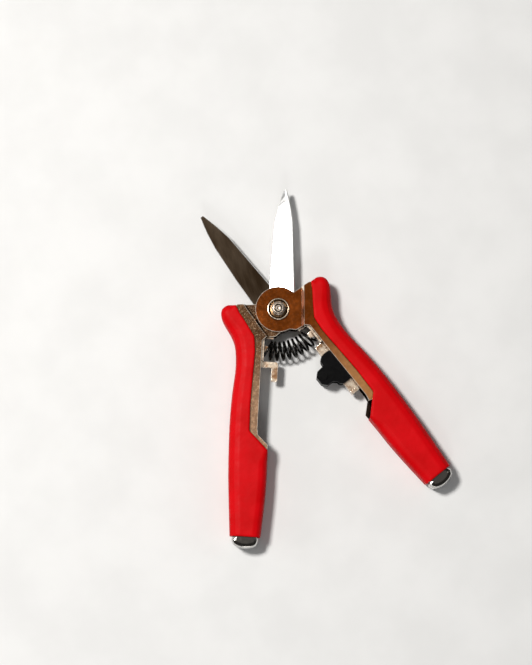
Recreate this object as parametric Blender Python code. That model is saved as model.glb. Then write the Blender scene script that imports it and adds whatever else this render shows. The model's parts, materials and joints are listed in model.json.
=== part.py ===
"""Floral snips with sheet-steel channel handles, vinyl grips, an arch spring and a sliding catch.

Frame: +Y runs from the handles to the blade tips along the middle of the open snips, +Z is the face
that carries the pivot nut, and the origin lies on the pivot axis in the plane that the snips rest on.
Lengths below are in millimetres and are turned into metres when a mesh is made. Each arm is drawn in
its closed position with its own handle on the +X side and the middle plane at z = 0. The left arm is
the same pressing turned half round the Y axis, and the two arms are then swung open about the pivot.
"""

import math

import bmesh
import bpy
from mathutils import Vector

METRE = 0.001  # metres in a millimetre

# Overall
HALF_OPENING = math.radians(20.9)  # how far each arm is swung from closed
GRIP_HALF_DEPTH = 7.0  # half the thickness of the handles, and the height of the middle plane
CLEARANCE = 0.3

# Sheet metal
SHEET = 0.8
CHANNEL_HALF_DEPTH = 5.5
WEB_BEND = 2.2
SHOULDER_BEND = 1.4
HEAD_RADIUS = 9.7
JOGGLE_OUTER = 10.97  # distance of the joggle's outer line from the pivot
JOGGLE_INNER = 10.0
JOGGLE_SHIFT = 0.5  # how much further out the joggle runs on the sheet's outer side
WALL_OVERLAP = 0.6  # how far a cheek's root runs into the channel's wall
CHEEK_TOP_ANGLE = 10.1  # degrees round the pivot at which the round edge ends
CHEEK_LOW_ANGLE = 260.5
JOGGLE_ANGLE = math.radians(-38.5)  # direction from the pivot to the joggle
TUCK = 0.05  # how deep the cheeks' roots lie inside the channel's surfaces
BARE_EDGE_X = 6.0  # free edge of the cheeks beside the grips

# Blades
BLADE_THICK = 1.5
BLADE_LEVEL = 0.15  # flat face of each blade, measured from the middle plane
HEEL_RADIUS = 9.4
BLADE_LENGTH = 52.5
EDGE_THICK = 0.3
SPINE_FLAT = 1.3  # what the grinding leaves along the spine
SPINE_CHAMFER = 0.4
BLADE_SPINE = [(8.0, 6.7), (21.6, 5.9), (30.0, 5.2), (38.0, 4.35), (45.0, 3.0), (49.8, 1.75),
               (BLADE_LENGTH, 0.9)]  # distance from the pivot, and from there out to the spine
BLADE_EDGE = [(8.0, 4.2), (11.9, 4.1), (28.0, 3.7), (38.0, 3.35), (45.0, 2.2), (49.8, 1.15),
              (BLADE_LENGTH, 0.5)]
BLADE_STATIONS = [8.0, 11.9, 16.0, 21.6, 28.0, 33.0, 38.0, 41.5, 45.0, 47.5, 49.8, BLADE_LENGTH]

# Levels of the cheeks at the pivot: the inner one backs the blade, the outer one covers the other arm
INNER_CHEEK = BLADE_LEVEL + BLADE_THICK + CLEARANCE
OUTER_CHEEK = INNER_CHEEK + SHEET + CLEARANCE
STACK_HALF = OUTER_CHEEK + SHEET

# Grips
GRIP_WALL = 1.2
GRIP_ROUND = 4.4
GRIP_SHOULDER_ROUND = 2.8
GRIP_ROUND_INNER = 3.4
SHOULDER_SPAN = (-4.0, -12.0)  # the roundings grow from their shoulder to their full size here
GRIP_OUTER_EDGE = [
    (18.1, 0.5), (21.4, 0.5), (23.8, -1.4), (24.0, -4.4), (22.2, -8.0), (19.6, -11.9),
    (17.7, -16.0), (16.8, -21.5), (16.7, -28.0), (17.4, -36.0), (17.8, -46.0),
    (17.7, -57.0), (17.1, -72.0), (16.0, -86.0), (15.1, -96.8),
]
GRIP_INNER_EDGE_LOW = [(2.2, -96.8), (1.3, -84.0), (0.9, -73.0), (1.1, -60.2)]
GRIP_STEP = (9.2, -52.6)
GRIP_INNER_EDGE_HIGH = [(9.5, -41.0), (9.1, -28.0), (8.8, -19.0), (9.5, -12.4)]
GRIP_SHOULDER = [(13.6, -6.4), (16.2, -2.9)]
SHOULDER_POINTS = 4  # points of the grip's curve above the start of the channel's web

# Channel edges that aren't offset from the grip
CHANNEL_TOP_EDGE = [(9.55, 1.7), (17.3, 0.9)]
CHANNEL_LOW_EDGE = [(-1.6, -9.567), (0.5, -11.6), (4.3, -12.2)]
CHANNEL_STEP = [(BARE_EDGE_X, -51.5), (5.6, -54.0), (1.3, -58.0), (1.3, -59.6), (2.6, -61.2)]
CHANNEL_END_EDGE = [(14.2, -98.0), (13.5, -99.9), (11.4, -101.1), (8.6, -101.6), (5.7, -101.2),
                    (3.6, -100.0), (2.9, -98.0)]
CHANNEL_INNER_LOW = [(3.7, -96.8), (2.8, -84.0), (2.4, -73.0)]
# The front wall is cut back inside this outline, where the grip has its step
STEP_RELIEF = [(-1.0, -54.4), (5.8, -54.4), (8.8, -55.9), (8.8, -61.8), (-1.0, -61.8)]
END_RETURN_Y = -95.0  # the bent end comes this far up the open side
OPEN_SIDE_X = -4.0  # the cavity cutter runs past the open side to here

# Pivot
SHOULDER_RADIUS = 2.5
THREAD_RADIUS = 1.5
BOLT_HEAD_RADIUS = 4.0
BOLT_HEAD_HEIGHT = 1.95
REAR_WASHER_THICK = 0.6
FRONT_WASHER_THICK = 0.8
WASHER_RADIUS = 4.7
WASHER_DISH = 0.5  # thickness of the front washer inside its raised rim
RIM_WIDTH = 0.8
RIM_SLOPE = 0.35
NUT_ACROSS_FLATS = 5.5
NUT_HEIGHT = 1.6
NUT_COLLAR_HEIGHT = 0.8
COLLAR_OVERLAP = 0.3  # how far the collar runs down into the nut
COLLAR_INSET = 0.1  # how much narrower the collar's foot is than the nut
COLLAR_TAPER = 0.5
THREAD_CHAMFER = 0.3
HEAD_CHAMFER = 0.8
HOLE_CLEARANCE = 0.25

# Blade rivets, flush with the blade and the inner cheek
RIVET_RADIUS = 1.1
RIVET_PLACES = {"upper": (6.0, -4.0), "lower": (3.5, -6.3)}

# Brackets in the channels, which hold the spring and the catch
PLATE_HALF = 1.25
SEAT_X = 5.0  # the face that the spring rests on
SEAT_THICK = 1.0
SEAT_HALF = 4.0
FINGER_TOP_Y = -10.4
FINGER_THICK = 2.3
FINGER_REACH_X = 1.2
LOW_FINGER_Y = -22.3
NIB_HALF_WIDTH = 1.5
NIB_LENGTH = 2.0
NIB_CHAMFER = 0.5
PLATE_BACK_X = 13.1
FOOT_FRONT_X = 12.8  # the foot runs a little into the plate
FLANGE_THICK = 0.9
FLANGE_SPAN = (-25.0, -39.0)
FLANGE_HALF_DEPTH = 3.7
WEB_RIVET_Y = -32.0
WEB_RIVET_Z = 2.6
WEB_RIVET_HEAD = 1.0
WEB_RIVET_SHANK = 0.7
WEB_RIVET_SPAN = (12.1, 15.4)
HOOK_OUTER_X = 1.3
HOOK_INNER_X = -1.5
HOOK_BAR = 2.7
HOOK_TIP_Y = -30.8
HOOK_CHAMFER = 0.5
HOOK_BEND = 1.2
CARRIER_EDGE_X = 1.9
CARRIER_END_Y = -48.0
CARRIER_CHAMFER = 0.8
STOP_TAB_HALF = 3.2
STOP_TAB_X = 5.6
STOP_TAB_THICK = 1.4

# Sliding catch
CATCH_TRAVEL = 4.5
CATCH_HALF = 3.8
CATCH_TOP_Y = -27.0
CATCH_END_Y = -42.0
CATCH_OUTER_X = 6.6
CATCH_INNER_X = -0.2
LUG_TIP_X = -5.6
LUG_CORE_X = -1.8
LUG_SPAN = (-31.2, -38.4)
LUG_CHAMFER = 1.8
BOSS_RADIUS = 1.7
BOSS_HEIGHT = 0.6
BOSS_OFFSET = (0.7, 0.6)  # from the middle of the lug
LUMP_OVERLAP = 0.5  # how far the lug's core and the boss run into the catch's front half
PIN_RADIUS = 1.1
PIN_PLACE = (4.4, -36.0)
PIN_HALF = 2.8

# Arch spring
SPRING_ARC_RADIUS = 17.6
SPRING_COIL_RADIUS = 3.75
SPRING_WIRE_RADIUS = 0.55
SPRING_LEAN_START = 0.6  # share of the way to an end at which the turns begin to lean
SPRING_TURNS = 9
SPRING_HALF_ANGLE = math.radians(34.0)
SPRING_POINTS_PER_TURN = 14
SPRING_WIRE_SIDES = 6

# Colours (linear), roughness and metallic
PLATED_STEEL = ((0.62, 0.50, 0.38), 0.22, 1.0)
BRIGHT_BLADE = ((0.80, 0.80, 0.80), 0.28, 1.0)
DARK_STEEL = ((0.30, 0.30, 0.31), 0.35, 1.0)
RED_VINYL = ((0.62, 0.008, 0.012), 0.42, 0.0)
BLACK_PLASTIC = ((0.012, 0.012, 0.013), 0.45, 0.0)
BLACK_WIRE = ((0.02, 0.02, 0.02), 0.30, 0.8)


def curve_through(points, per_span=3):
    """A smooth open curve through the given points, as a polyline (Catmull-Rom)."""
    ends = [points[0], *points, points[-1]]
    line = []
    for i in range(len(points) - 1):
        a, b, c, d = (Vector(p) for p in ends[i:i + 4])
        for k in range(per_span):
            t = k / per_span
            line.append(0.5 * (2 * b + (c - a) * t + (2 * a - 5 * b + 4 * c - d) * t**2
                               + (3 * b - a - 3 * c + d) * t**3))
    line.append(Vector(points[-1]))
    return [(p.x, p.y) for p in line]


def arc(centre, radius, start, end, steps):
    """Points on an arc between two angles in degrees, both ends included."""
    angles = [math.radians(start + (end - start) * i / steps) for i in range(steps + 1)]
    return [(centre[0] + radius * math.cos(a), centre[1] + radius * math.sin(a)) for a in angles]


def circle(centre, radius, steps=24):
    return arc(centre, radius, 0, 360 - 360 / steps, steps - 1)


def offset_left(line, distances):
    """The polyline moved sideways, to the left of its own direction, by one distance or by one for
    each point."""
    if not isinstance(distances, list):
        distances = [distances] * len(line)
    moved = []
    for i, (point, distance) in enumerate(zip(line, distances)):
        before = Vector(line[max(i - 1, 0)])
        after = Vector(line[min(i + 1, len(line) - 1)])
        along = (after - before).normalized()
        moved.append((point[0] - along.y * distance, point[1] + along.x * distance))
    return moved


def joggle_offset(point):
    """Distance of a point from the pivot, measured square to the joggle."""
    return point[0] * math.cos(JOGGLE_ANGLE) + point[1] * math.sin(JOGGLE_ANGLE)


def point_at_offset(start, end, offset):
    """Where the segment from start to end crosses the line at this distance from the pivot."""
    low, high = joggle_offset(start), joggle_offset(end)
    share = (offset - low) / (high - low)
    return (start[0] + (end[0] - start[0]) * share, start[1] + (end[1] - start[1]) * share)


def finish(bm, name):
    """Turn a bmesh in millimetres into a linked object in metres."""
    bmesh.ops.recalc_face_normals(bm, faces=bm.faces)
    bmesh.ops.scale(bm, vec=(METRE, METRE, METRE), verts=bm.verts)
    mesh = bpy.data.meshes.new(name)
    bm.to_mesh(mesh)
    bm.free()
    item = bpy.data.objects.new(name, mesh)
    bpy.context.scene.collection.objects.link(item)
    return item


def close_rings(bm, rings):
    """Faces between neighbouring rings of equal length, and a face over each end."""
    for first, second in zip(rings, rings[1:]):
        for i in range(len(first)):
            j = (i + 1) % len(first)
            bm.faces.new((first[i], first[j], second[j], second[i]))
    bm.faces.new(rings[0])
    bm.faces.new(rings[-1])


def prism(name, outline, low, high):
    bm = bmesh.new()
    close_rings(bm, [[bm.verts.new((x, y, z)) for x, y in outline] for z in (low, high)])
    return finish(bm, name)


def rounded_prism(name, stretches, half, steps=3):
    """A prism about the middle plane, from (points, rounding radii) stretches that follow one
    another clockwise. Each point's edges at both ends of the prism are rounded by its radius."""
    bm = bmesh.new()
    rings = []
    quarter = [math.pi / 2 * i / steps for i in range(steps + 1)]
    for side, angles in ((-1, quarter[::-1]), (1, quarter)):
        for angle in angles:
            ring = []
            for points, radii in stretches:
                inset = offset_left(points, [-r * (1 - math.cos(angle)) for r in radii])
                ring += [(x, y, side * (half - r * (1 - math.sin(angle))))
                         for (x, y), r in zip(inset, radii)]
            rings.append([bm.verts.new(corner) for corner in ring])
    close_rings(bm, rings)
    bmesh.ops.remove_doubles(bm, verts=bm.verts, dist=0.0005)
    return finish(bm, name)


def shoulder_radii(line, at_shoulder, full):
    """Rounding radii along a line that comes down from the shoulder."""
    start, end = SHOULDER_SPAN
    shares = [min(1.0, max(0.0, (start - y) / (start - end))) for _, y in line]
    return [at_shoulder + (full - at_shoulder) * share for share in shares]


def turned(name, profile, steps=24):
    """A solid of revolution about Z from (radius, height) points, which start and end on the axis
    or run round a closed section."""
    bm = bmesh.new()
    rings = []
    for radius, height in profile:
        if radius == 0:
            rings.append([bm.verts.new((0, 0, height))])
            continue
        angles = [2 * math.pi * i / steps for i in range(steps)]
        rings.append([bm.verts.new((radius * math.cos(a), radius * math.sin(a), height))
                      for a in angles])
    closed = profile[0][0] != 0
    for k in range(len(rings) if closed else len(rings) - 1):
        first, second = rings[k], rings[(k + 1) % len(rings)]
        for i in range(steps):
            j = (i + 1) % steps
            corners = [first[i % len(first)], first[j % len(first)],
                       second[j % len(second)], second[i % len(second)]]
            bm.faces.new(list(dict.fromkeys(corners)))
    return finish(bm, name)


def combine(item, tool, operation):
    """Apply a Boolean at once and remove the tool."""
    step = item.modifiers.new("combine", "BOOLEAN")
    step.object = tool
    step.operation = operation
    step.solver = "EXACT"
    graph = bpy.context.evaluated_depsgraph_get()
    mesh = bpy.data.meshes.new_from_object(item.evaluated_get(graph))
    item.modifiers.clear()
    item.data = mesh
    bpy.data.objects.remove(tool)
    return item


def cut(item, tool):
    return combine(item, tool, "DIFFERENCE")


def join(item, tool):
    return combine(item, tool, "UNION")


def drill(item, place, radius, low, high):
    return cut(item, prism("drill", circle(place, radius), low, high))


# Outlines shared by the channel, its cavity and the grip

def grip_curve():
    return curve_through(GRIP_OUTER_EDGE, 2)


def channel_web(gap):
    """The web's line, this far inside the grip's outer edge, from the shoulder down."""
    return offset_left(grip_curve(), -gap)[SHOULDER_POINTS:]


def channel_stretches(grow=0.0):
    """The pressing beyond its joggle. Grown, it is the space that the pressing takes in the grip."""
    start = point_at_offset(*CHANNEL_TOP_EDGE, JOGGLE_OUTER)
    foot = point_at_offset(*CHANNEL_LOW_EDGE[-2:], JOGGLE_OUTER)
    web = channel_web(GRIP_WALL + CLEARANCE - grow)
    end = offset_left(curve_through(CHANNEL_END_EDGE, 2), grow)
    outside = [*web, *end]
    inner = curve_through(CHANNEL_INNER_LOW, 2)
    rest = [*inner, *CHANNEL_STEP[::-1], (BARE_EDGE_X, -13.9), foot]
    top = [start, CHANNEL_TOP_EDGE[1]]
    if grow:
        rest = offset_left(rest, grow)
        top = offset_left(top, grow)
    radii = shoulder_radii(outside, SHOULDER_BEND + grow, WEB_BEND + grow)
    return [(top, [0, 0]), (outside, radii), (rest, [0] * len(rest))]


def cavity_stretches():
    """The hollow of the channel, running past its open side."""
    web = channel_web(GRIP_WALL + CLEARANCE + SHEET)
    end = offset_left(curve_through(CHANNEL_END_EDGE, 2), -SHEET)
    above = 6.0
    open_side = [(CHANNEL_INNER_LOW[0][0] + SHEET, END_RETURN_Y), (OPEN_SIDE_X, END_RETURN_Y),
                 (OPEN_SIDE_X, -20.0), (14.0, above), (web[0][0], above)]
    outside = [*web, *end]
    radii = shoulder_radii(outside, SHOULDER_BEND - SHEET, WEB_BEND - SHEET)
    return [(outside, radii), (open_side, [0] * len(open_side))]


def head_plate(name, level, outward):
    """A round cheek at the pivot with the joggle that leads to the channel's wall.

    level is the cheek's inner face there, and outward is 1 on the front and -1 on the rear.
    """
    top = CHANNEL_TOP_EDGE
    low = CHANNEL_LOW_EDGE
    disc = arc((0, 0), HEAD_RADIUS, CHEEK_TOP_ANGLE, CHEEK_LOW_ANGLE, 26)
    bm = bmesh.new()
    faces_z = {False: level, True: level + SHEET}
    wall_z = {False: CHANNEL_HALF_DEPTH - SHEET + TUCK, True: CHANNEL_HALF_DEPTH - TUCK}
    rings = []
    for is_outer in (False, True):
        shift = 0 if is_outer else JOGGLE_SHIFT
        lines = (JOGGLE_INNER + shift, JOGGLE_OUTER + shift, JOGGLE_OUTER + shift + WALL_OVERLAP)
        upper = [point_at_offset(top[0], top[1], u) for u in lines]
        lower = [point_at_offset(low[1], low[2], u) for u in lines]
        upper[1:] = [(x, y - TUCK) for x, y in upper[1:]]
        lower[1:] = [(x, y + TUCK) for x, y in lower[1:]]
        head = [(p[0], p[1], faces_z[is_outer]) for p in [lower[0], low[1], *disc[::-1], upper[0]]]
        wall = [(p[0], p[1], wall_z[is_outer]) for p in (upper[1], upper[2], lower[2], lower[1])]
        rings.append([bm.verts.new((x, y, outward * z)) for x, y, z in head + wall])
    count = len(rings[0])
    for ring in rings:
        head, wall = ring[:count - 4], ring[count - 4:]
        bm.faces.new(head)
        bm.faces.new((head[-1], wall[0], wall[3], head[0]))
        bm.faces.new(wall)
    for i in range(count):
        j = (i + 1) % count
        bm.faces.new((rings[0][i], rings[0][j], rings[1][j], rings[1][i]))
    return finish(bm, name)


def make_channel(name):
    """The stamped arm: a channel with its open side to the middle and two round cheeks. At the
    grip's step its front wall is cut back."""
    channel = rounded_prism(name, channel_stretches(), CHANNEL_HALF_DEPTH, 2)
    cut(channel, rounded_prism("cavity", cavity_stretches(), CHANNEL_HALF_DEPTH - SHEET, 2))
    join(channel, head_plate("front_cheek", OUTER_CHEEK, 1))
    join(channel, head_plate("rear_cheek", INNER_CHEEK, -1))
    drill(channel, (0, 0), SHOULDER_RADIUS + HOLE_CLEARANCE, -STACK_HALF - 1, STACK_HALF + 1)
    for place in RIVET_PLACES.values():
        drill(channel, place, RIVET_RADIUS + HOLE_CLEARANCE, -STACK_HALF, 0)
    cut(channel, prism("relief", STEP_RELIEF, CHANNEL_HALF_DEPTH - 2 * SHEET, CHANNEL_HALF_DEPTH + 1))
    return drill_for_web_rivets(channel)


def drill_for_web_rivets(item):
    """Holes along X for the two rivets that hold a bracket's foot to the channel's web."""
    first, last = WEB_RIVET_SPAN
    for side in (-1, 1):
        tool = prism("rivet_hole", circle((0, 0), WEB_RIVET_SHANK + HOLE_CLEARANCE, 12),
                     first - 1, last + 1)
        tool.rotation_euler = (0, math.pi / 2, 0)
        tool.location = (0, WEB_RIVET_Y * METRE, side * WEB_RIVET_Z * METRE)
        bpy.context.view_layer.update()
        cut(item, tool)
    return item


def make_grip(name):
    """The vinyl sleeve: open to the middle above the step, and a full tube below it."""
    outer = grip_curve()
    low = curve_through(GRIP_INNER_EDGE_LOW, 2)
    rest = [GRIP_STEP, *curve_through(GRIP_INNER_EDGE_HIGH, 2), *GRIP_SHOULDER]
    outer_radii = shoulder_radii(outer, GRIP_SHOULDER_ROUND, GRIP_ROUND)
    outer_radii[0] = GRIP_WALL / 2
    low_radii = [GRIP_ROUND_INNER] * (len(low) - 1) + [GRIP_WALL]
    grip = rounded_prism(name, [(outer, outer_radii), (low, low_radii), (rest, [0] * len(rest))],
                         GRIP_HALF_DEPTH)
    return cut(grip, rounded_prism("channel_space", channel_stretches(CLEARANCE),
                                   CHANNEL_HALF_DEPTH + CLEARANCE, 2))


def interpolate(line, place):
    """The line's second value where its first is place."""
    for (x0, y0), (x1, y1) in zip(line, line[1:]):
        if place <= x1:
            return y0 + (y1 - y0) * (place - x0) / (x1 - x0)
    return line[-1][1]


def make_blade(name):
    """A pointed blade with a round heel. Its flat face looks at the middle plane, and the ground
    face slopes down to the cutting edge. The right arm's blade lies on the rear side and points
    to the left of the pivot."""
    low, high = -BLADE_LEVEL, -BLADE_LEVEL - BLADE_THICK
    bm = bmesh.new()
    sections = []
    for y in BLADE_STATIONS:
        spine = interpolate(BLADE_SPINE, y)
        edge = interpolate(BLADE_EDGE, y)
        flat = min(SPINE_FLAT, 0.5 * (spine + edge))
        bevel = min(SPINE_CHAMFER, 0.5 * flat)
        corners = [(edge, low), (edge, low - EDGE_THICK), (flat - spine, high),
                   (bevel - spine, high), (-spine, high + bevel), (-spine, low)]
        sections.append([bm.verts.new((x, y, z)) for x, z in corners])
    close_rings(bm, sections)
    blade = finish(bm, name)
    join(blade, prism("heel", circle((0, 0), HEEL_RADIUS, 40), high, low))
    drill(blade, (0, 0), SHOULDER_RADIUS + HOLE_CLEARANCE, high - 1, low + 1)
    for place in RIVET_PLACES.values():
        drill(blade, place, RIVET_RADIUS + HOLE_CLEARANCE, high - 1, low + 1)
    return blade


def make_blade_rivet(name, place):
    """A flush rivet through the blade and the inner cheek behind it."""
    return prism(name, circle(place, RIVET_RADIUS, 16), -INNER_CHEEK - SHEET, -BLADE_LEVEL)


def seat_outline():
    """The edge of a bracket that faces the spring, from its lower finger up to its upper finger."""
    nib_y = -SPRING_ARC_RADIUS * math.cos(math.asin(SEAT_X / SPRING_ARC_RADIUS))
    nib_x = SEAT_X - NIB_LENGTH
    return [(SEAT_X, LOW_FINGER_Y), (SEAT_X, nib_y - NIB_HALF_WIDTH),
            (nib_x, nib_y - NIB_HALF_WIDTH + NIB_CHAMFER),
            (nib_x, nib_y + NIB_HALF_WIDTH - NIB_CHAMFER),
            (SEAT_X, nib_y + NIB_HALF_WIDTH), (SEAT_X, FINGER_TOP_Y - FINGER_THICK),
            (FINGER_REACH_X, FINGER_TOP_Y - FINGER_THICK), (FINGER_REACH_X, FINGER_TOP_Y),
            (6.4, FINGER_TOP_Y), (8.2, -12.0), (PLATE_BACK_X, -19.0)]


def add_flanges(plate):
    """The wide seat for the spring, the foot that lies against the web, and the holes for the
    rivets that hold it there."""
    low, high = LOW_FINGER_Y, FINGER_TOP_Y - FINGER_THICK
    seat = [(SEAT_X, low), (SEAT_X + SEAT_THICK, low), (SEAT_X + SEAT_THICK, high), (SEAT_X, high)]
    join(plate, prism("seat", seat, -SEAT_HALF, SEAT_HALF))
    back = PLATE_BACK_X + FLANGE_THICK
    top, bottom = FLANGE_SPAN
    foot = [(FOOT_FRONT_X, bottom), (back, bottom), (back, top), (FOOT_FRONT_X, top)]
    join(plate, prism("foot", foot, -FLANGE_HALF_DEPTH, FLANGE_HALF_DEPTH))
    return drill_for_web_rivets(plate)


def make_keeper(name):
    """The left bracket, drawn on the +X side: spring seat above, and below it the hook for the
    catch, which reaches past the middle and turns down."""
    inner, outer = -HOOK_OUTER_X, -HOOK_INNER_X
    hook = [(PLATE_BACK_X, -40.0), (9.6, -40.0), (7.0, -36.0), (7.0, LOW_FINGER_Y - HOOK_BAR),
            (outer, LOW_FINGER_Y - HOOK_BAR), (outer, HOOK_TIP_Y),
            (inner + HOOK_CHAMFER, HOOK_TIP_Y), (inner, HOOK_TIP_Y + HOOK_CHAMFER)]
    corner = arc((inner + HOOK_BEND, LOW_FINGER_Y - HOOK_BEND), HOOK_BEND, 180, 90, 4)
    outline = [*seat_outline(), *hook, *corner]
    plate = prism(name, outline, -PLATE_HALF, PLATE_HALF)
    return add_flanges(plate)


def make_carrier(name):
    """The right bracket: spring seat above, and below it the strip that the catch slides on."""
    edge = CARRIER_EDGE_X
    strip = [(PLATE_BACK_X, -43.0), (8.0, CARRIER_END_Y), (edge, CARRIER_END_Y),
             (edge, LOW_FINGER_Y - CARRIER_CHAMFER), (edge + CARRIER_CHAMFER, LOW_FINGER_Y)]
    plate = prism(name, [*seat_outline(), *strip], -PLATE_HALF, PLATE_HALF)
    tab_top = CARRIER_END_Y + STOP_TAB_THICK
    tab = [(edge, CARRIER_END_Y), (STOP_TAB_X, CARRIER_END_Y), (STOP_TAB_X, tab_top), (edge, tab_top)]
    join(plate, prism("stop_tab", tab, -STOP_TAB_HALF, STOP_TAB_HALF))
    add_flanges(plate)
    reach = PIN_RADIUS + HOLE_CLEARANCE
    x, y = PIN_PLACE
    slot = arc((x, y), reach, 180, 360, 8) + arc((x, y + CATCH_TRAVEL), reach, 0, 180, 8)
    return cut(plate, prism("slot", slot, -PLATE_HALF - 1, PLATE_HALF + 1))


def make_web_rivet(name, z):
    """The rivet that holds a bracket's foot to the web, drawn with its own axis along X."""
    first, last = WEB_RIVET_SPAN
    head_end = FOOT_FRONT_X - CLEARANCE
    profile = [(0, first), (WEB_RIVET_HEAD, first), (WEB_RIVET_HEAD, head_end),
               (WEB_RIVET_SHANK, head_end), (WEB_RIVET_SHANK, last), (0, last)]
    rivet = turned(name, profile, 12)
    for vertex in rivet.data.vertices:
        x, y, height = vertex.co
        vertex.co = (height, y + WEB_RIVET_Y * METRE, z * METRE - x)
    return rivet


def catch_outline():
    """The catch seen from the front: a rounded body with a lug towards the other arm."""
    top, bottom = LUG_SPAN
    tip = LUG_TIP_X
    corner, brow, toe = 1.5, 3.0, 2.4  # rounding radii
    return [
        *arc((CATCH_OUTER_X - corner, CATCH_TOP_Y - corner), corner, 0, 90, 3),
        *arc((CATCH_INNER_X + brow, CATCH_TOP_Y - brow), brow, 90, 180, 4),
        (CATCH_INNER_X, top + 0.4), (tip + LUG_CHAMFER, top), (tip, top - LUG_CHAMFER),
        (tip, bottom + LUG_CHAMFER), (tip + LUG_CHAMFER, bottom), (-1.2, bottom),
        (0.4, bottom - 1.4),
        *arc((2.6, CATCH_END_Y + toe), toe, 200, 270, 4),
        *arc((CATCH_OUTER_X - corner, CATCH_END_Y + corner), corner, 270, 360, 3),
    ]


def make_catch_front(name):
    """The front half of the catch, with the solid core of the lug and the round boss."""
    slot_half = PLATE_HALF + CLEARANCE
    half = prism(name, catch_outline(), slot_half, CATCH_HALF)
    top, bottom = LUG_SPAN
    core = [(LUG_CORE_X, top), (LUG_TIP_X + LUG_CHAMFER, top), (LUG_TIP_X, top - LUG_CHAMFER),
            (LUG_TIP_X, bottom + LUG_CHAMFER), (LUG_TIP_X + LUG_CHAMFER, bottom),
            (LUG_CORE_X, bottom)]
    join(half, prism("core", core, -slot_half, slot_half + LUMP_OVERLAP))
    middle = ((LUG_TIP_X + LUG_CORE_X) / 2 + BOSS_OFFSET[0], (top + bottom) / 2 + BOSS_OFFSET[1])
    join(half, prism("boss", circle(middle, BOSS_RADIUS, 20), CATCH_HALF - LUMP_OVERLAP,
                     CATCH_HALF + BOSS_HEIGHT))
    return drill(half, PIN_PLACE, PIN_RADIUS + HOLE_CLEARANCE, 0, PIN_HALF + CLEARANCE)


def make_catch_rear(name):
    """The plain rear half of the catch."""
    inside = PLATE_HALF + 2 * CLEARANCE
    half = prism(name, catch_outline(), -CATCH_HALF, -inside)
    return drill(half, PIN_PLACE, PIN_RADIUS + HOLE_CLEARANCE, -PIN_HALF - CLEARANCE, 0)


def make_pivot_pieces():
    """Shoulder bolt from behind, washers on both faces and a lock nut in front, drawn about the
    middle plane."""
    base = -GRIP_HALF_DEPTH
    head_top = base + BOLT_HEAD_HEIGHT
    shoulder_top = STACK_HALF
    front_washer = STACK_HALF + CLEARANCE
    nut_base = front_washer + FRONT_WASHER_THICK + CLEARANCE
    nut_top = nut_base + NUT_HEIGHT
    collar_top = nut_top + NUT_COLLAR_HEIGHT
    bolt_end = collar_top - THREAD_CHAMFER
    bolt = turned("pivot_bolt", [
        (0, base), (BOLT_HEAD_RADIUS - HEAD_CHAMFER, base), (BOLT_HEAD_RADIUS, base + HEAD_CHAMFER),
        (BOLT_HEAD_RADIUS, head_top), (SHOULDER_RADIUS, head_top), (SHOULDER_RADIUS, shoulder_top),
        (THREAD_RADIUS, shoulder_top), (THREAD_RADIUS, bolt_end - THREAD_CHAMFER),
        (THREAD_RADIUS - THREAD_CHAMFER, bolt_end), (0, bolt_end)])
    rear_top = -STACK_HALF - CLEARANCE
    rear_washer = ring("pivot_rear_washer", WASHER_RADIUS, SHOULDER_RADIUS + HOLE_CLEARANCE,
                       rear_top - REAR_WASHER_THICK, rear_top, 0.15)
    thread_hole = THREAD_RADIUS + HOLE_CLEARANCE
    rim = front_washer + FRONT_WASHER_THICK
    dish = front_washer + WASHER_DISH
    washer = turned("pivot_front_washer", [
        (thread_hole, front_washer), (WASHER_RADIUS, front_washer), (WASHER_RADIUS, rim - RIM_SLOPE),
        (WASHER_RADIUS - RIM_SLOPE, rim), (WASHER_RADIUS - RIM_WIDTH, rim),
        (WASHER_RADIUS - RIM_WIDTH - RIM_SLOPE, dish), (thread_hole, dish)])
    half_flats = NUT_ACROSS_FLATS / 2
    nut = prism("pivot_nut", circle((0, 0), half_flats / math.cos(math.pi / 6), 6), nut_base, nut_top)
    collar_base = nut_top - COLLAR_OVERLAP
    foot = half_flats - COLLAR_INSET
    collar = [(THREAD_RADIUS, collar_base), (foot, collar_base), (foot, nut_top),
              (foot - COLLAR_TAPER, collar_top), (THREAD_RADIUS, collar_top)]
    join(nut, turned("collar", collar))
    drill(nut, (0, 0), thread_hole, nut_base - 1, collar_top + 1)
    return [(bolt, DARK_STEEL), (rear_washer, PLATED_STEEL), (washer, PLATED_STEEL),
            (nut, PLATED_STEEL)]


def ring(name, outer, inner, low, high, chamfer):
    """A flat washer with small chamfers on its outer edges."""
    return turned(name, [(inner, low), (outer - chamfer, low), (outer, low + chamfer),
                         (outer, high - chamfer), (outer - chamfer, high), (inner, high)])


def spring_centre_line():
    """The wire's centreline: a helix whose axis is an arc about the pivot. The end turns lean
    until they lie flat on the seats."""
    line = []
    steps = SPRING_TURNS * SPRING_POINTS_PER_TURN
    for i in range(steps + 1):
        along = 2 * i / steps - 1
        angle = along * SPRING_HALF_ANGLE
        lean = max(0.0, abs(along) - SPRING_LEAN_START) / (1 - SPRING_LEAN_START)
        end_plane = math.copysign(HALF_OPENING, along)
        plane = angle + (end_plane - math.copysign(SPRING_HALF_ANGLE, along)) * lean**2
        turn = 2 * math.pi * i / SPRING_POINTS_PER_TURN
        centre = Vector((math.sin(angle), -math.cos(angle), 0)) * SPRING_ARC_RADIUS
        outward = Vector((math.sin(plane), -math.cos(plane), 0))
        line.append(centre + SPRING_COIL_RADIUS * (outward * math.cos(turn)
                                                   + Vector((0, 0, 1)) * math.sin(turn)))
    return line


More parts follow.
